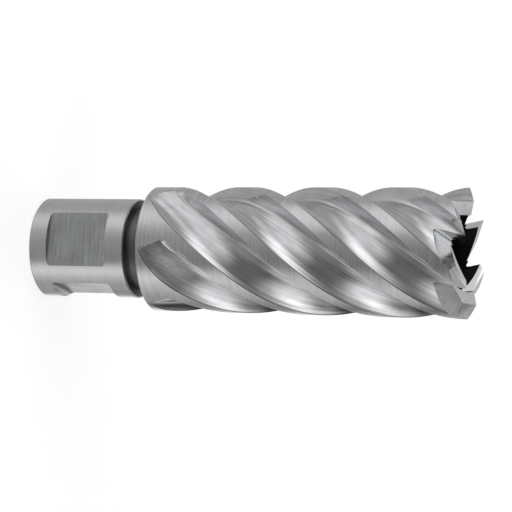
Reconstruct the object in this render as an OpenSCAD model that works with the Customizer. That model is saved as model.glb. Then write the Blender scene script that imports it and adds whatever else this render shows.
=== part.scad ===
// Annular cutter: one piece of ground tool steel with a plain side-lock shank,
// a neck groove, and a hollow fluted body that carries the cutting teeth.
// Millimetres. +Z runs along the axis from the shank's back face to the teeth.

/* [Shank] */
// Diameter of the shank
shank_d = 19.05; // [16:0.05:21]
// Length of the shank, from its back face to the neck groove
shank_len = 19.4; // [17:0.1:30]
// Chamfer on the shank's back rim
shank_chamfer = 0.35; // [0.1:0.05:0.8]

/* [Drive flats] */
// How far each flat is cut into the shank
flat_depth = 1.55; // [0.8:0.05:2]
// Length of the flats along the shank
flat_len = 12; // [8:0.1:13]
// Distance from the shank's back face to the flats
flat_start = 3.6; // [2:0.1:4]
// Corner radius of the wheel that ground the flats
flat_corner = 0.6; // [0.2:0.05:0.8]

/* [Neck] */
// Diameter of the neck groove
neck_d = 16; // [13:0.1:17]
// Length of the neck groove
neck_len = 3.4; // [2:0.1:6]
// Chamfer on the rims on both sides of the groove
rim_chamfer = 0.25; // [0.1:0.05:0.6]

/* [Body] */
// Cutting diameter, across the outer corners of the teeth
cut_d = 24.1; // [23:0.1:26]
// Body diameter at the shoulder, smaller for back taper
back_d = 23.7; // [22:0.1:24]
// Length of the body, from the shoulder to the tooth tips
body_len = 62; // [50:0.1:80]

/* [Bores] */
// Diameter of the core bore inside the teeth
core_d = 14.2; // [13:0.1:15]
// Depth of the core bore, from the tooth tips
core_depth = 54; // [40:0.5:56]
// Diameter of the pilot pin's hole through the shank
pilot_d = 6.5; // [5:0.1:8]

/* [Flutes] */
// Number of teeth, and of flutes
teeth = 6; // [4:1:7]
// Lead of the flutes, for one full turn
lead = 90; // [70:1:140]
// Depth of the flutes below the lands
flute_depth = 2.5; // [1.5:0.05:2.9]
// Width of a land around the body
land_w = 2.75; // [2:0.05:4]
// Run of a flute's straight wall, below a land's cutting edge
face_run = 1.4; // [0.8:0.05:2]
// Width of a flute's flat floor, next to its straight wall
floor_run = 0.9; // [0.5:0.05:3]
// Distance from the shoulder to the start of the flutes
flute_gap = 0.5; // [0.4:0.1:4]
// Length over which a flute runs in to full depth
run_in = 9; // [6:0.1:14]

/* [Teeth] */
// Radius at which a tooth's tip lies
tip_r = 9.6; // [8.6:0.05:10.2]
// Depth of a gullet's root below the tip, at the core bore
gullet_in = 3.2; // [2:0.1:4]
// Depth of a gullet's root below the tip, at the tip's radius
gullet_out = 6.1; // [4.5:0.1:8]
// Angle ahead of a tip at which a gullet's floor meets the next tooth's relief
gullet_turn = 35.5; // [30:0.5:40]
// Axial rake of a gullet's face
rake_axial = 14; // [0:0.5:16]
// Lean of a gullet's face from the radial direction
rake_lean = 12.5; // [0:0.5:20]
// Relief angle behind the outer cutting edge
relief_out = 22; // [10:0.5:25]
// Slope of the outer cutting edge, down to the corner
bevel_out = 6; // [4:0.5:16]
// Relief angle behind the inner cutting edge
relief_in = 16.5; // [8:0.5:25]
// Slope of the inner cutting edge, down to the bore
bevel_in = 14; // [6:0.5:20]
// Direction of the first tooth's tip about the axis
tip_turn = 22; // [0:1:59]

/* [Hidden] */
$fn = 96;

// Radii and heights that follow from the sizes above
shank_r = shank_d / 2;
cut_r = cut_d / 2;
back_r = back_d / 2;
core_r = core_d / 2;
shoulder_z = shank_len + neck_len;
tip_z = shoulder_z + body_len;
core_z = tip_z - core_depth;
pitch = 360 / teeth;
// Room by which a cutting shape passes the surface that it cuts
over = 1.4;

// Flute section, as angles ahead of a tooth's tip at the tip's height
degrees_per_mm = 360 / (PI * cut_d);
face_turn = face_run * degrees_per_mm;
floor_turn = floor_run * degrees_per_mm;
// The rounded wall takes what is left, up to the heel of the next land
heel_turn = pitch - (land_w + face_run + floor_run) * degrees_per_mm;
// Share of the straight wall that the fillet at its foot takes
foot_share = 0.28;
// Steps across the floor, and up the rounded wall, as shares of each
flute_floor_shares = [0.4, 1];
heel_shares = [0.2, 0.36, 0.5, 0.64, 0.77, 0.89, 1];
// Curve of the rounded wall, 2 for a parabola
heel_power = 2.5;
// How far the walls are followed past the land, as shares of their runs
heel_past = 1.1;
face_past = 1 + over / flute_depth;
// Shares of the walls' runs that the flute starts with
face_in = 0.55;
heel_in = 0.62;
// Height of a section's edges above the land, so that the walls cross it cleanly
edge_lift = 0.08;

// Run-in at the shoulder: the rings of the sweep lean back along the flute
ring_skew = 0.165;
run_in_shares = [-0.08, 0.1, 0.25, 0.42, 0.6, 0.8];
ring_step = 1.6;
first_ring = shoulder_z + flute_gap + ring_skew * (floor_turn + heel_turn * heel_in);
full_ring = first_ring + run_in;
last_ring = tip_z + ring_skew * (pitch - face_turn) + over;
full_rings = ceil((last_ring - full_ring) / ring_step);
ring_heights = concat(
    [for (share = run_in_shares) first_ring + share * run_in],
    [for (i = [0 : full_rings]) full_ring + (last_ring - full_ring) * i / full_rings]);

// Gullet: how far the root's rounding reaches up the face, and along the floor as a share of it
root_reach = 1;
root_share = 0.11;
// Steps round the root, and along and across the floor
root_steps = 4;
gullet_steps = 5;
// Height of the end of a gullet's floor above the relief that it runs out on
floor_clear = 0.15;
// How far a gullet's cutting shape passes the bore, the lands and the tips
gullet_past_core = 1.5;
gullet_past_cut = 4;
rake_top = 3;

// Tooth relief: angle ahead of the tip where one tooth's share ends, and the cutting shape's size
share_end = 8;
relief_reach = 40;
relief_drop = 8;

function land_r(z) = back_r + (cut_r - back_r) * (z - shoulder_z) / body_len;

// Share of the full depth at a ring: a grinding wheel's rise out of the work
function ring_share(height) =
    let (x = min((height - first_ring) / run_in, 1)) 1 - pow(1 - x, 2);

// Points of a section as [angle ahead of the tip, depth below the land]
function flute_section(share) =
    let (depth = flute_depth * share,
         rim = min(depth, 0) - edge_lift,
         face = face_turn * (face_in + (1 - face_in) * share),
         heel = heel_turn * (heel_in + (1 - heel_in) * share))
    concat(
        [[-face * face_past, -over],
         [-face, rim],
         [-face * foot_share, depth * (1 - foot_share)],
         [0, depth * (1 - foot_share / 4)]],
        [for (e = flute_floor_shares) [floor_turn * e, depth]],
        [for (u = heel_shares) [floor_turn + heel * u, depth + (rim - depth) * pow(u, heel_power)]],
        [[floor_turn + heel * heel_past, -over],
         [floor_turn / 2, -over]]);

// A section point on the helix
function flute_point(p, height) =
    let (z = height - ring_skew * p[0],
         turn = p[0] + 360 * (z - tip_z) / lead,
         r = land_r(z) - p[1])
    [r * cos(turn), r * sin(turn), z];

// Faces of a solid swept through rings, each of which its last point can see all of
function sweep_faces(rings, count) = concat(
    [for (j = [0 : count - 3]) [count - 1, j + 1, j]],
    [for (i = [0 : rings - 2], j = [0 : count - 1], half = [0, 1])
        let (a = i * count + j,
             b = i * count + (j + 1) % count)
        half == 0 ? [a, b, b + count] : [a, b + count, a + count]],
    [for (j = [0 : count - 3]) [for (k = [count - 1, j, j + 1]) (rings - 1) * count + k]]);

// One helical flute, for the tooth whose tip lies toward +X
module flute() {
    rings = [for (height = ring_heights)
        [for (p = flute_section(ring_share(height))) flute_point(p, height)]];
    polyhedron(
        points = [for (ring = rings) each ring],
        faces = sweep_faces(len(rings), len(rings[0])),
        convexity = 10);
}

// Height of the next tooth's outer relief plane, from its tip
function next_relief(x, y) =
    let (ahead = y * cos(pitch) - x * sin(pitch),
         out = x * cos(pitch) + y * sin(pitch) - tip_r)
    ahead * tan(relief_out) - out * tan(bevel_out);

// Outline of a gullet in the plane x, from the top of its face round its root to its floor
function gullet_outline(x) =
    let (depth = gullet_out + (gullet_out - gullet_in) * (x - tip_r) / (tip_r - core_r),
         lean = -(x - tip_r) * tan(rake_lean),
         root = lean - depth * tan(rake_axial),
         end = x * tan(gullet_turn),
         climb = depth + next_relief(x, end) + floor_clear)
    concat(
        [[x, lean + rake_top * tan(rake_axial), tip_z + rake_top]],
        [for (i = [0 : root_steps - 1])
            let (s = i / root_steps,
                 up_face = root_reach * (1 - s) * (1 - s),
                 e = root_share * s * s)
            [x, root + up_face * tan(rake_axial) + (end - root) * e, tip_z - depth + up_face + climb * e]],
        [for (i = [0 : gullet_steps])
            let (e = root_share + (1 - root_share) * i / gullet_steps)
            [x, root + (end - root) * e, tip_z - depth + climb * e]],
        [[x, end, tip_z + rake_top]]);

// One gullet, ahead of the tooth whose tip lies toward +X
module gullet() {
    outside = cut_r + gullet_past_cut;
    inside = core_r - gullet_past_core;
    rings = [for (i = [0 : gullet_steps])
        gullet_outline(outside + (inside - outside) * i / gullet_steps)];
    polyhedron(
        points = [for (ring = rings) each ring],
        faces = sweep_faces(len(rings), len(rings[0])),
        convexity = 4);
}

// What lies above a plane through the tip, over one tooth's share of the end
module above_tip(relief, bevel) {
    intersection() {
        translate([0, 0, tip_z - relief_drop])
            linear_extrude(relief_drop + rake_top)
                polygon(concat([[0, 0]],
                    [for (i = [0 : 2])
                        let (turn = share_end - pitch * i / 2)
                        relief_reach / 2 * [cos(turn), sin(turn)]]));
        translate([tip_r, 0, tip_z])
            rotate([relief, bevel, 0])
                translate([-relief_reach / 2, -relief_reach / 2, 0])
                    cube([relief_reach, relief_reach, relief_reach]);
    }
}

// Turned blank: shank, neck groove and tapered body
module blank() {
    rotate_extrude()
        polygon([
            [0, 0],
            [shank_r - shank_chamfer, 0],
            [shank_r, shank_chamfer],
            [shank_r, shank_len - rim_chamfer],
            [shank_r - rim_chamfer, shank_len],
            [neck_d / 2, shank_len],
            [neck_d / 2, shoulder_z],
            [back_r - rim_chamfer, shoulder_z],
            [land_r(shoulder_z + rim_chamfer), shoulder_z + rim_chamfer],
            [cut_r, tip_z],
            [0, tip_z]]);
}

// Slot that leaves one drive flat, facing -Y
module drive_flat() {
    translate([0, flat_depth - shank_r, flat_start])
        rotate([0, 90, 0])
            rotate([0, 0, 180])
                linear_extrude(shank_d, center = true) {
                    translate([0, flat_corner])
                        square([flat_len, shank_r]);
                    translate([flat_corner, 0])
                        square([flat_len - 2 * flat_corner, shank_r]);
                    for (x = [flat_corner, flat_len - flat_corner])
                        translate([x, flat_corner])
                            circle(flat_corner);
                }
}

module cutter() {
    color("silver")
    difference() {
        blank();
        translate([0, 0, core_z])
            cylinder(d = core_d, h = core_depth + over);
        translate([0, 0, -over])
            cylinder(d = pilot_d, h = core_z + 2 * over);
        drive_flat();
        rotate(90)
            drive_flat();
        for (i = [0 : teeth - 1])
            rotate(tip_turn + pitch * i) {
                flute();
                gullet();
                above_tip(relief_out, bevel_out);
                above_tip(relief_in, -bevel_in);
            }
    }
}

cutter();
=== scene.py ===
"""Looks of the annular cutter: a fine mesh of its form, finishes of bare steel, camera, floor and light."""

import math
from functools import partial

import bmesh
import bpy
import numpy as np
from mathutils import Matrix, Vector


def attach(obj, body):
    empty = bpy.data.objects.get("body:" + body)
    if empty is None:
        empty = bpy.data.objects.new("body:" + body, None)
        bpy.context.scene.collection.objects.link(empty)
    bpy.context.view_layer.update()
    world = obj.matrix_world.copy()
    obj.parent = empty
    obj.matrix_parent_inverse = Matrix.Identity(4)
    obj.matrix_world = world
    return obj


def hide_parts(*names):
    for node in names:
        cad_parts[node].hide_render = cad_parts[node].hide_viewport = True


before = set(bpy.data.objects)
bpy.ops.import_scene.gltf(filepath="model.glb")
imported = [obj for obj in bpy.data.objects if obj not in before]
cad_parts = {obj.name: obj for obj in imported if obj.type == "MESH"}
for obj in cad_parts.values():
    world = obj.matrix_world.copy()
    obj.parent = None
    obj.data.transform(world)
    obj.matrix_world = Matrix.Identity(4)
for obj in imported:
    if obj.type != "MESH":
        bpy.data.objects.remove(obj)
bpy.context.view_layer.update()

# Sizes of the part, as in its source, in millimetres and degrees
MM = 0.001
SHANK_R = 19.05 / 2
SHANK_LEN = 19.4
SHANK_CHAMFER = 0.35
FLAT_DEPTH = 1.55
FLAT_LEN = 12
FLAT_START = 3.6
FLAT_CORNER = 0.6
NECK_R = 8
NECK_LEN = 3.4
RIM_CHAMFER = 0.25
CUT_R = 24.1 / 2
BACK_R = 23.7 / 2
BODY_LEN = 62
CORE_R = 14.2 / 2
CORE_DEPTH = 54
PILOT_R = 6.5 / 2
TEETH = 6
LEAD = 90
FLUTE_DEPTH = 2.5
LAND_W = 2.75
FACE_RUN = 1.4
FLOOR_RUN = 0.9
FLUTE_GAP = 0.5
RUN_IN = 9
TIP_R = 9.6
GULLET_IN = 3.2
GULLET_OUT = 6.1
GULLET_TURN = 35.5
RAKE_AXIAL = 14
RAKE_LEAN = 12.5
RELIEF_OUT = 22
BEVEL_OUT = 6
RELIEF_IN = 16.5
BEVEL_IN = 14
TIP_TURN = 22
# Length above the tips before they are ground
STOCK = 1

# What follows from the sizes
SHOULDER_Z = SHANK_LEN + NECK_LEN
TIP_Z = SHOULDER_Z + BODY_LEN
CORE_Z = TIP_Z - CORE_DEPTH
TOP_Z = TIP_Z + STOCK
PITCH = 360 / TEETH
DEGREES_PER_MM = 180 / (math.pi * CUT_R)
FACE_TURN = FACE_RUN * DEGREES_PER_MM
FLOOR_TURN = FLOOR_RUN * DEGREES_PER_MM
HEEL_TURN = PITCH - (LAND_W + FACE_RUN + FLOOR_RUN) * DEGREES_PER_MM

# Form of a flute's section and of its run-in at the shoulder
FOOT_SHARE = 0.28
FOOT_FLOOR = 0.5
HEEL_POWER = 2.5
# Share of the broad wall that is the painted shadow line along the heel
HEEL_LINE = 0.025
FACE_IN = 0.55
HEEL_IN = 0.62
RING_SKEW = 0.165
FIRST_RING = SHOULDER_Z + FLUTE_GAP + RING_SKEW * (FLOOR_TURN + HEEL_TURN * HEEL_IN)

# Form of the shapes that are ground away
ROOT_REACH = 1
ROOT_SHARE = 0.11
FLOOR_CLEAR = 0.15
GULLET_OUTSIDE = CUT_R + 4
GULLET_INSIDE = CORE_R - 1.5
RELIEF_REACH = 20
SHARE_END = 8
WHEEL_TOP = 4

# Fineness of the mesh
WALL_STEPS = 4
FOOT_STEPS = 9
FLOOR_STEPS = 2
HEEL_STEPS = 24
LAND_STEPS = 15
RUN_IN_ROWS = 26
BODY_ROWS = 84
BORE_ROWS = 36
PILOT_ROWS = 30
ROOT_STEPS = 10
GULLET_STEPS = 16
GULLET_RINGS = 14
FLAT_STEPS = 8
SHARP_ANGLE = 20

# Finishes, some painted with shade or a highlight, in the order of the mesh's material slots
SHANK, TURNED, FLUTED, EDGE_SHADE, NECK_SHADE, FLAT, GULLET, RELIEF, BEVEL_HIGHLIGHT, BORE_SHADE = range(10)


def tan(degrees):
    return math.tan(math.radians(degrees))


def land_r(z):
    return BACK_R + (CUT_R - BACK_R) * (z - SHOULDER_Z) / BODY_LEN


# Mesh of the turned and fluted blank

def along(start, end, steps):
    """Points from start, left out, to end."""
    shares = np.linspace(0, 1, steps + 1)[1:, None]
    return np.asarray(start) + (np.asarray(end) - np.asarray(start)) * shares


def flute_section(share):
    """A flute's section at a share of its depth: angles ahead of the tip, and depths below the land."""
    depth = FLUTE_DEPTH * share
    face = FACE_TURN * (FACE_IN + (1 - FACE_IN) * share)
    heel = HEEL_TURN * (HEEL_IN + (1 - HEEL_IN) * share)
    edge = np.array([-face, 0])
    wall_foot = np.array([-face * FOOT_SHARE, depth * (1 - FOOT_SHARE)])
    foot = np.array([0, depth])
    floor_start = np.array([FLOOR_TURN * FOOT_FLOOR, depth])
    s = np.linspace(0, 1, FOOT_STEPS + 1)[1:, None]
    fillet = (1 - s) ** 2 * wall_foot + 2 * s * (1 - s) * foot + s ** 2 * floor_start
    u = np.append(np.linspace(0, 1 - HEEL_LINE, HEEL_STEPS)[1:], 1)
    rounded = np.stack([FLOOR_TURN + heel * u, depth * (1 - u ** HEEL_POWER)], axis=1)
    points = np.concatenate([
        edge[None],
        along(edge, wall_foot, WALL_STEPS),
        fillet,
        along(floor_start, [FLOOR_TURN, depth], FLOOR_STEPS),
        rounded,
    ])
    return points[:, 0], points[:, 1]


FLUTE_FACES = WALL_STEPS + FOOT_STEPS + FLOOR_STEPS + HEEL_STEPS
PITCH_FACES = FLUTE_FACES + LAND_STEPS


def body_row(share, height_of):
    """Angles, radii and heights of one row around the body, over the flutes and the lands between them."""
    ahead, depth = flute_section(share)
    z = height_of(ahead)
    w = np.linspace(0, 1, LAND_STEPS + 1)[1:-1]
    ahead = np.append(ahead, ahead[-1] + (PITCH + ahead[0] - ahead[-1]) * w)
    depth = np.append(depth, 0 * w)
    z = np.append(z, z[-1] + (z[0] - z[-1]) * w)
    turn = ahead + 360 * (z - TIP_Z) / LEAD + TIP_TURN
    turns = np.concatenate([turn + PITCH * k for k in range(TEETH)])
    return turns, np.tile(land_r(z) - depth, TEETH), np.tile(z, TEETH)


def blank_rows():
    """Rows of the closed blank, from the pilot hole's back rim over the outside and down the bore."""
    body = []
    for x in np.linspace(0, 1, RUN_IN_ROWS):
        height = FIRST_RING + RUN_IN * x
        body.append(body_row(1 - (1 - x) ** 2, lambda ahead: height - RING_SKEW * ahead))
    full = FIRST_RING + RUN_IN
    for v in np.linspace(0, 1, BODY_ROWS + 1)[1:]:
        body.append(body_row(1, lambda ahead: (full - RING_SKEW * ahead) * (1 - v) + TOP_Z * v))
    start, top = body[0][0], body[-1][0]
    outside = [
        (PILOT_R, 0, BORE_SHADE),
        (SHANK_R - SHANK_CHAMFER, 0, SHANK),
        (SHANK_R, SHANK_CHAMFER, SHANK),
        (SHANK_R, SHANK_LEN - RIM_CHAMFER, SHANK),
        (SHANK_R - RIM_CHAMFER, SHANK_LEN, SHANK),
        # The neck groove's walls and floor take the dark steel that paints the shade in the recess
        (NECK_R, SHANK_LEN, NECK_SHADE),
        (NECK_R, SHOULDER_Z, NECK_SHADE),
        (BACK_R - RIM_CHAMFER, SHOULDER_Z, NECK_SHADE),
        (land_r(SHOULDER_Z + RIM_CHAMFER), SHOULDER_Z + RIM_CHAMFER, TURNED),
    ]
    rows = [(start, r, z, finish) for r, z, finish in outside]
    rows += [(turns, r, z, FLUTED if i else TURNED) for i, (turns, r, z) in enumerate(body)]
    # The bore and the pilot hole take the almost black steel that paints the shade inside the hollow
    for z in np.linspace(TOP_Z, CORE_Z, BORE_ROWS):
        rows.append((top + 360 * (z - TOP_Z) / LEAD, CORE_R, z, BORE_SHADE))
    floor = rows[-1][0]
    for w in np.linspace(0, 1, PILOT_ROWS)[:-1]:
        rows.append((floor + (start - floor) * w, PILOT_R, CORE_Z * (1 - w), BORE_SHADE))
    return rows


def make_object(name, vertices, faces, finishes):
    """A mesh object from points in millimetres, with its faces turned outward."""
    mesh = bpy.data.meshes.new(name)
    mesh.from_pydata([tuple(v) for v in np.asarray(vertices) * MM], [], faces)
    for finish in materials:
        mesh.materials.append(finish)
    mesh.polygons.foreach_set("material_index", finishes)
    work = bmesh.new()
    work.from_mesh(mesh)
    bmesh.ops.recalc_face_normals(work, faces=work.faces)
    work.to_mesh(mesh)
    work.free()
    thing = bpy.data.objects.new(name, mesh)
    bpy.context.scene.collection.objects.link(thing)
    return thing


def strip_finish(place):
    """Finish of one strip of the fluted body, by its place in a pitch."""
    if place >= FLUTE_FACES:
        return TURNED
    # The last strip of each flute, at the heel edge, takes the dark steel of the painted shadow line
    return EDGE_SHADE if place == FLUTE_FACES - 1 else FLUTED


def make_blank():
    rows = blank_rows()
    columns = len(rows[0][0])
    vertices = []
    for turns, r, z, _ in rows:
        angle = np.radians(turns)
        vertices.append(np.stack([r * np.cos(angle), r * np.sin(angle), z + 0 * angle], axis=1))
    faces, finishes = [], []
    for i in range(len(rows)):
        after = (i + 1) % len(rows)
        finish = rows[after][3]
        for j in range(columns):
            k = (j + 1) % columns
            faces.append((i * columns + j, i * columns + k, after * columns + k, after * columns + j))
            finishes.append(strip_finish(j % PITCH_FACES) if finish == FLUTED else finish)
    return make_object("cutter_steel", np.concatenate(vertices), faces, finishes)


# Shapes that are ground away from the blank

def loft(name, rings, finish):
    """A closed shape through rings of points."""
    count = len(rings[0])
    faces = [tuple(range(count)), tuple(range(count * (len(rings) - 1), count * len(rings)))]
    for start in range(0, count * (len(rings) - 1), count):
        for j in range(count):
            k = (j + 1) % count
            faces.append((start + j, start + k, start + count + k, start + count + j))
    return make_object(name, np.concatenate(rings), faces, [finish] * len(faces))


def turned_about_axis(points, degrees):
    angle = math.radians(degrees)
    x, y, z = np.asarray(points, dtype=float).T
    across = x * math.cos(angle) - y * math.sin(angle)
    upright = x * math.sin(angle) + y * math.cos(angle)
    return np.stack([across, upright, z], axis=1)


def drive_flat(degrees):
    """The slot that leaves one drive flat, with the rounded corners of its wheel."""
    depth_y = FLAT_DEPTH - SHANK_R
    outside_y = -CUT_R - SHANK_R
    outline = [(outside_y, FLAT_START)]
    corners = [(FLAT_START + FLAT_CORNER, 0), (FLAT_START + FLAT_LEN - FLAT_CORNER, 90)]
    for centre, first in corners:
        for step in np.linspace(0, 90, FLAT_STEPS + 1):
            angle = math.radians(180 - first - step)
            y = depth_y - FLAT_CORNER + FLAT_CORNER * math.sin(angle)
            outline.append((y, centre + FLAT_CORNER * math.cos(angle)))
    outline.append((outside_y, FLAT_START + FLAT_LEN))
    rings = [[(x, y, z) for y, z in outline] for x in (-SHANK_R, SHANK_R)]
    return loft("flat_wheel", [turned_about_axis(ring, degrees) for ring in rings], FLAT)


def next_relief(x, y):
    """Height of the next tooth's outer relief plane, from its tip."""
    angle = math.radians(PITCH)
    ahead = y * math.cos(angle) - x * math.sin(angle)
    out = x * math.cos(angle) + y * math.sin(angle) - TIP_R
    return ahead * tan(RELIEF_OUT) - out * tan(BEVEL_OUT)


def gullet(degrees):
    """The wheel's path that leaves one gullet ahead of a tooth."""
    rings = []
    for x in np.linspace(GULLET_OUTSIDE, GULLET_INSIDE, GULLET_RINGS):
        depth = GULLET_OUT + (GULLET_OUT - GULLET_IN) * (x - TIP_R) / (TIP_R - CORE_R)
        lean = -(x - TIP_R) * tan(RAKE_LEAN)
        root = lean - depth * tan(RAKE_AXIAL)
        end = x * tan(GULLET_TURN)
        climb = depth + next_relief(x, end) + FLOOR_CLEAR
        face_end = np.array([root + ROOT_REACH * tan(RAKE_AXIAL), ROOT_REACH])
        corner = np.array([root, 0])
        e = np.linspace(ROOT_SHARE, 1, GULLET_STEPS)
        floor = np.stack([root + (end - root) * e, climb * e], axis=1)
        s = np.linspace(0, 1, ROOT_STEPS + 1)[:-1, None]
        fillet = (1 - s) ** 2 * face_end + 2 * s * (1 - s) * corner + s ** 2 * floor[0]
        face_top = (lean + WHEEL_TOP * tan(RAKE_AXIAL), depth + WHEEL_TOP)
        outline = [face_top, *fillet, *floor, (end, depth + WHEEL_TOP)]
        rings.append([(x, y, TIP_Z - depth + z) for y, z in outline])
    return loft("gullet_wheel", [turned_about_axis(ring, degrees) for ring in rings], GULLET)


def relief(degrees, slope, bevel, finish):
    """What lies above a relief plane through the tip, over one tooth's share of the end."""
    corners = [(0, 0)]
    for step in range(3):
        angle = math.radians(SHARE_END - PITCH * step / 2)
        corners.append((RELIEF_REACH * math.cos(angle), RELIEF_REACH * math.sin(angle)))
    rise = tan(slope) / math.cos(math.radians(bevel))
    low = [(x, y, TIP_Z - tan(bevel) * (x - TIP_R) + rise * y) for x, y in corners]
    high = [(x, y, TIP_Z + WHEEL_TOP) for x, y in corners]
    return loft("relief_wheel", [turned_about_axis(ring, degrees) for ring in (low, high)], finish)


def grind(work, wheel):
    """Takes a wheel's shape away from the work."""
    cut = work.modifiers.new("cut", "BOOLEAN")
    cut.operation = "DIFFERENCE"
    cut.solver = "MANIFOLD"
    cut.object = wheel
    ground = bpy.data.meshes.new_from_object(work.evaluated_get(bpy.context.evaluated_depsgraph_get()))
    work.modifiers.clear()
    old = work.data
    work.data = ground
    bpy.data.meshes.remove(old)
    used = wheel.data
    bpy.data.objects.remove(wheel)
    bpy.data.meshes.remove(used)


# Finishes of bare steel

# Detail of the wheel marks, the share of the fine ones in a tone, and the range of noise that a tone spans
MARK_DETAIL = 2.0
MARK_ROUGHNESS = 0.6
FINE_SHARE = 0.6
BROAD_PER_MM = 0.22
TONE_LOW = 0.3
TONE_HIGH = 0.7


def add(tree, kind, inputs=(), **settings):
    """A node with its settings, and its inputs given as values or as other nodes' outputs."""
    made = tree.nodes.new(kind)
    for name, value in settings.items():
        setattr(made, name, value)
    for key, value in dict(inputs).items():
        if isinstance(value, bpy.types.NodeSocket):
            tree.links.new(value, made.inputs[key])
        else:
            made.inputs[key].default_value = value
    return made


def math_node(tree, operation, *values):
    return add(tree, "ShaderNodeMath", dict(enumerate(values)), operation=operation).outputs[0]


def vector_node(tree, operation, *values):
    return add(tree, "ShaderNodeVectorMath", dict(enumerate(values)), operation=operation).outputs[0]


def about_axis(tree, place):
    """The direction from the axis to a place, its distance from the axis and its height."""
    parts = add(tree, "ShaderNodeSeparateXYZ", {0: place})
    level = add(tree, "ShaderNodeCombineXYZ", {0: parts.outputs[0], 1: parts.outputs[1]}).outputs[0]
    radius = add(tree, "ShaderNodeVectorMath", {0: level}, operation="LENGTH").outputs["Value"]
    return vector_node(tree, "NORMALIZE", level), radius, parts.outputs[2]


def lifted(tree, level, height, per_mm):
    """Level coordinates with a height added, which counts per_mm times a millimetre."""
    lift = add(tree, "ShaderNodeCombineXYZ", {2: math_node(tree, "MULTIPLY", height, per_mm / MM)})
    return vector_node(tree, "ADD", level, lift.outputs[0])


def ring_coordinates(tree, place, per_mm):
    """Coordinates in which marks run around the axis: they vary fast along it, and slowly around it."""
    outward, radius, height = about_axis(tree, place)
    return lifted(tree, outward, math_node(tree, "ADD", height, radius), per_mm)


def spoke_coordinates(tree, place, per_mm):
    """Coordinates in which marks run in toward the axis, as a wheel leaves them in a gullet."""
    outward, _, height = about_axis(tree, place)
    count = CUT_R * per_mm
    return lifted(tree, vector_node(tree, "MULTIPLY", outward, (count, count, count)), height, per_mm)


def helix_coordinates(tree, place, per_mm, along_per_mm):
    """Coordinates in which marks run along the flutes: untwisted, then drawn out along the axis."""
    parts = add(tree, "ShaderNodeSeparateXYZ", {0: place})
    angle = math_node(tree, "MULTIPLY", parts.outputs[2], -2 * math.pi / (LEAD * MM))
    straight = add(tree, "ShaderNodeVectorRotate", {"Vector": place, "Angle": angle}, rotation_type="Z_AXIS")
    scale = (per_mm / MM, per_mm / MM, along_per_mm / MM)
    return vector_node(tree, "MULTIPLY", straight.outputs[0], scale)


def plain_coordinates(tree, place, across_per_mm, along_per_mm):
    """Coordinates drawn out across the axis or along it."""
    scale = (across_per_mm / MM, across_per_mm / MM, along_per_mm / MM)
    return vector_node(tree, "MULTIPLY", place, scale)


def marks(tree, coordinates):
    settings = {"Vector": coordinates, "Scale": 1.0, "Detail": MARK_DETAIL, "Roughness": MARK_ROUGHNESS}
    return add(tree, "ShaderNodeTexNoise", settings).outputs[0]


def shaded(colour, share):
    return tuple(min(part * share, 1) for part in colour) + (1,)


def steel(name, colour, rough, coordinates_of, depth_mm, anisotropy=0.0, rough_swing=0.1, shade=0.12):
    """Bare steel with fine wheel marks in its relief, its gloss and its shade."""
    material = bpy.data.materials.new(name)
    material.use_nodes = True
    tree = material.node_tree
    shader = tree.nodes["Principled BSDF"]
    place = add(tree, "ShaderNodeTexCoord").outputs["Object"]
    fine = marks(tree, coordinates_of(tree, place))
    broad = marks(tree, plain_coordinates(tree, place, BROAD_PER_MM, BROAD_PER_MM))
    fine_part = math_node(tree, "MULTIPLY", fine, FINE_SHARE)
    tone = math_node(tree, "MULTIPLY_ADD", broad, 1 - FINE_SHARE, fine_part)
    ramp = add(tree, "ShaderNodeValToRGB", {0: tone})
    low, high = ramp.color_ramp.elements
    low.position = TONE_LOW
    low.color = shaded(colour, 1 - shade)
    high.position = TONE_HIGH
    high.color = shaded(colour, 1 + shade)
    tree.links.new(ramp.outputs[0], shader.inputs["Base Color"])
    limits = {"Value": tone, "From Min": TONE_LOW, "From Max": TONE_HIGH,
              "To Min": rough - rough_swing, "To Max": rough + rough_swing}
    tree.links.new(add(tree, "ShaderNodeMapRange", limits).outputs[0], shader.inputs["Roughness"])
    grooves = add(tree, "ShaderNodeBump", {"Height": fine, "Strength": 1.0, "Distance": depth_mm * MM})
    tree.links.new(grooves.outputs[0], shader.inputs["Normal"])
    shader.inputs["Metallic"].default_value = 1.0
    shader.inputs["Anisotropic"].default_value = anisotropy
    if anisotropy:
        around = add(tree, "ShaderNodeTangent", direction_type="RADIAL", axis="Z")
        tree.links.new(around.outputs[0], shader.inputs["Tangent"])
    return material


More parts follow.
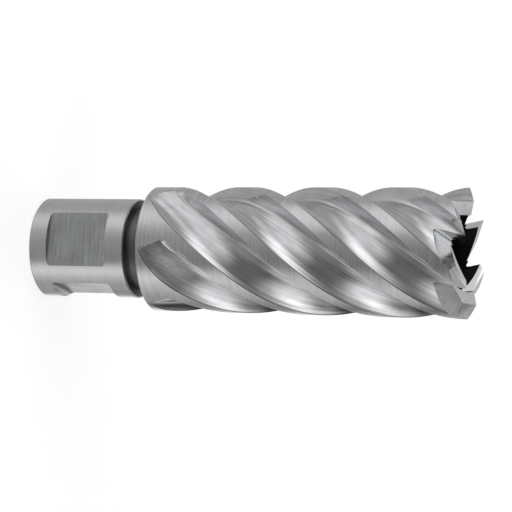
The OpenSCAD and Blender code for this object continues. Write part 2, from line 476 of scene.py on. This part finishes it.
def make_finishes():
    """The steels of all the faces, some with painted shade or a painted highlight, in the order of the
    mesh's material slots.
    """
    bright = (0.60, 0.605, 0.615)
    ground = (0.75, 0.755, 0.765)
    fine_rings = partial(ring_coordinates, per_mm=5.0)
    rings = partial(ring_coordinates, per_mm=2.4)
    helix = partial(helix_coordinates, per_mm=1.5, along_per_mm=0.02)
    spokes = partial(spoke_coordinates, per_mm=1.5)
    grain = partial(plain_coordinates, across_per_mm=4.0, along_per_mm=4.0)
    hatch = partial(plain_coordinates, across_per_mm=0.12, along_per_mm=2.2)
    turned = dict(anisotropy=0.3, rough_swing=0.04)
    made = {
        SHANK: steel("shank_steel", bright, 0.2, fine_rings, 0.003, shade=0.1, **turned),
        TURNED: steel("turned_steel", bright, 0.2, rings, 0.006, shade=0.16, **turned),
        FLUTED: steel("flute_steel", bright, 0.1, helix, 0.03, rough_swing=0.02, shade=0.26),
        # Dark steel that paints the shadow line along the flutes' heel edges
        EDGE_SHADE: steel("edge_painted_shade", (0.22, 0.225, 0.23), 0.3, helix, 0.01),
        # Dark steel of the neck groove: painted shade in its recess
        NECK_SHADE: steel("neck_painted_shade", (0.15, 0.153, 0.157), 0.36, rings, 0.006),
        FLAT: steel("flat_steel", (0.42, 0.43, 0.43), 0.32, hatch, 0.006, shade=0.22),
        GULLET: steel("gullet_steel", (0.72, 0.725, 0.735), 0.24, spokes, 0.015, shade=0.24),
        RELIEF: steel("relief_steel", ground, 0.2, grain, 0.002),
        # Lighter copy of the relief steel for the inner facets: a painted highlight
        BEVEL_HIGHLIGHT: steel("bevel_painted_highlight", (0.88, 0.885, 0.89), 0.2, grain, 0.002),
        # Almost black steel in the bore and pilot hole: painted shade inside the hollow
        BORE_SHADE: steel("bore_painted_shade", (0.035, 0.036, 0.038), 0.5, rings, 0.006),
    }
    return [made[slot] for slot in sorted(made)]


# The cutter, ground from its blank

materials = make_finishes()
cutter = make_blank()
for quarter in (0, 90):
    grind(cutter, drive_flat(quarter))
for tooth in range(TEETH):
    place_turn = TIP_TURN + PITCH * tooth
    grind(cutter, gullet(place_turn))
    grind(cutter, relief(place_turn, RELIEF_OUT, BEVEL_OUT, RELIEF))
    # The inner relief facets take the lighter steel, a painted highlight
    grind(cutter, relief(place_turn, RELIEF_IN, -BEVEL_IN, BEVEL_HIGHLIGHT))
cutter.data.polygons.foreach_set("use_smooth", [True] * len(cutter.data.polygons))
cutter.data.set_sharp_from_angle(angle=math.radians(SHARP_ANGLE))
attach(cutter, "root")
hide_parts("cutter")


# The photograph's view

# Directions of the part: toward the camera, up the picture and along the axis
VIEW_TURN = math.radians(-78.68)
NEAR = Vector((math.cos(VIEW_TURN), math.sin(VIEW_TURN), 0))
UPWARD = Vector((math.sin(VIEW_TURN), -math.cos(VIEW_TURN), 0))
AXIS = Vector((0, 0, 1))
# How far the axis leans out of the picture, and how far it falls in it
LEAN = math.radians(18.14)
FALL = math.radians(0.91)
# The shank's back centre as the camera sees it: right, down and ahead, in millimetres
BACK_SEEN = Vector((-40.62, -1.73, 372.69))
FOCAL_PIXELS = 1900
PICTURE_PIXELS = 512
SENSOR_MM = 36
# What the camera shows, from and to, in metres
CLIP_START = 0.01
CLIP_END = 20


def from_camera(right, down, ahead):
    """A direction of the part, from its three lengths as the camera sees them."""
    level = right * math.cos(FALL) + down * math.sin(FALL)
    axial = level * math.cos(LEAN) - ahead * math.sin(LEAN)
    near = -level * math.sin(LEAN) - ahead * math.cos(LEAN)
    upward = right * math.sin(FALL) - down * math.cos(FALL)
    return AXIS * axial + NEAR * near + UPWARD * upward


def make_camera():
    camera = bpy.data.objects.new("camera", bpy.data.cameras.new("camera"))
    bpy.context.scene.collection.objects.link(camera)
    right = from_camera(1, 0, 0)
    up = from_camera(0, -1, 0)
    back = from_camera(0, 0, -1)
    pose = Matrix((right, up, back)).transposed().to_4x4()
    pose.translation = from_camera(*-BACK_SEEN) * MM
    camera.matrix_world = pose
    camera.data.sensor_width = SENSOR_MM
    camera.data.lens = FOCAL_PIXELS / PICTURE_PIXELS * SENSOR_MM
    camera.data.clip_start = CLIP_START
    camera.data.clip_end = CLIP_END
    bpy.context.scene.camera = camera


# Floor, in metres

FLOOR_HALF = 3.0
FLOOR_DROP = 0.02 * MM
FLOOR_SHADE = 0.92
FLOOR_GLOW = 0.63


def make_floor():
    """A pale floor that keeps the soft shadow, and that the steel's reflections look through."""
    mesh = bpy.data.meshes.new("floor")
    corners = [(-1, -1), (1, -1), (1, 1), (-1, 1)]
    mesh.from_pydata([(x * FLOOR_HALF, y * FLOOR_HALF, -FLOOR_DROP) for x, y in corners], [], [(0, 1, 2, 3)])
    floor = bpy.data.objects.new("floor", mesh)
    bpy.context.scene.collection.objects.link(floor)
    material = bpy.data.materials.new("pale_floor")
    material.use_nodes = True
    tree = material.node_tree
    tree.nodes.clear()
    path = add(tree, "ShaderNodeLightPath")
    paint = add(tree, "ShaderNodeBsdfDiffuse", {"Color": (FLOOR_SHADE, FLOOR_SHADE, FLOOR_SHADE, 1)})
    seen = math_node(tree, "MULTIPLY", path.outputs["Is Camera Ray"], FLOOR_GLOW)
    glow = add(tree, "ShaderNodeEmission", {"Color": (1, 1, 1, 1), "Strength": seen})
    pale = add(tree, "ShaderNodeAddShader", {0: paint.outputs[0], 1: glow.outputs[0]})
    clear = add(tree, "ShaderNodeBsdfTransparent")
    mirrored = path.outputs["Is Glossy Ray"]
    mix = add(tree, "ShaderNodeMixShader", {0: mirrored, 1: pale.outputs[0], 2: clear.outputs[0]})
    add(tree, "ShaderNodeOutputMaterial", {"Surface": mix.outputs[0]})
    mesh.materials.append(material)


# Light of a pale room with soft panels

# A panel has a turn about the axis from the camera's side, a place along the axis from -1 to 1, a tilt,
# half sizes, the share of them that is fully lit, and a strength. A screen's is below zero: it takes light.
ROOM_LIGHT = 0.48
PANELS = {
    "upper front": dict(turn=60, axial=-0.1, tilt=60, wide=0.5, high=0.7, lit=0.4, strength=0.45),
    "upper strip": dict(turn=65, axial=0.45, tilt=150, wide=1.0, high=0.25, strength=1.05),
    "front": dict(turn=30, axial=0, wide=0.4, high=0.4, strength=0.25),
    "lower front": dict(turn=-60, axial=0.2, tilt=30, wide=0.9, high=0.45, lit=0.2, strength=0.9),
    "lower strip": dict(turn=-80, axial=0.4, tilt=5, wide=0.8, high=0.2, strength=0.9),
    "lower shank strip": dict(turn=-60, axial=-0.35, tilt=5, wide=0.6, high=0.25, lit=0, strength=0.5),
    "lower shank": dict(turn=-50, axial=-0.55, wide=0.4, high=0.4, strength=0.4),
    "upper shank": dict(turn=45, axial=-0.8, wide=0.75, high=0.4, lit=0.2, strength=0.4),
    "over the tips": dict(turn=0, axial=0.95, wide=0.5, high=0.5, lit=0.3, strength=0.3),
    "behind the tips": dict(turn=-170, axial=0.55, wide=0.5, high=0.3, lit=0.3, strength=0.85),
    "behind the shank": dict(turn=-160, axial=-0.4, wide=0.25, high=0.25, lit=0.3, strength=0.6),
    "screen over the tips": dict(turn=-40, axial=0.7, tilt=65, wide=1.05, high=1.1, lit=0.75, strength=-0.3),
    "upper back screen": dict(turn=130, axial=0.65, wide=0.4, high=0.4, strength=-0.45),
    "lower back screen": dict(turn=-125, axial=0, wide=0.4, high=0.55, strength=-0.35),
}


def panel_light(tree, turn, axial, wide, high, strength, tilt=0, lit=0.1):
    """Strength of one panel in the direction that is looked at."""
    toward = add(tree, "ShaderNodeTexCoord").outputs["Generated"]
    angle = math.radians(turn)
    radial = NEAR * math.cos(angle) + UPWARD * math.sin(angle)
    aside = UPWARD * math.cos(angle) - NEAR * math.sin(angle)
    level = math.sqrt(1 - axial ** 2)
    rise = AXIS * level - radial * axial
    lean, stand = math.sin(math.radians(tilt)), math.cos(math.radians(tilt))

    def along_direction(direction):
        sockets = {0: toward, 1: direction}
        return add(tree, "ShaderNodeVectorMath", sockets, operation="DOT_PRODUCT").outputs["Value"]

    across = along_direction((aside * stand + rise * lean) / wide)
    upright = along_direction((rise * stand - aside * lean) / high)
    squares = math_node(tree, "MULTIPLY_ADD", upright, upright, math_node(tree, "POWER", across, 2.0))
    limits = {"Value": math_node(tree, "SQRT", squares),
              "From Min": 1.0, "From Max": lit, "To Min": 0.0, "To Max": strength}
    shown = add(tree, "ShaderNodeMapRange", limits, interpolation_type="SMOOTHSTEP").outputs[0]
    front = math_node(tree, "GREATER_THAN", along_direction(radial * level + AXIS * axial), 0.0)
    return math_node(tree, "MULTIPLY", shown, front)


def make_light():
    world = bpy.data.worlds.new("studio")
    bpy.context.scene.world = world
    world.use_nodes = True
    tree = world.node_tree
    total = ROOM_LIGHT
    for panel in PANELS.values():
        total = math_node(tree, "ADD", panel_light(tree, **panel), total)
    background = tree.nodes["Background"]
    tree.links.new(total, background.inputs["Strength"])
    background.inputs["Color"].default_value = (1, 1, 1, 1)
    # The light is soft all round, so it needs no map of its bright places
    world.cycles.sampling_method = "NONE"


make_camera()
make_floor()
make_light()
bpy.context.scene.view_settings.view_transform = "Standard"
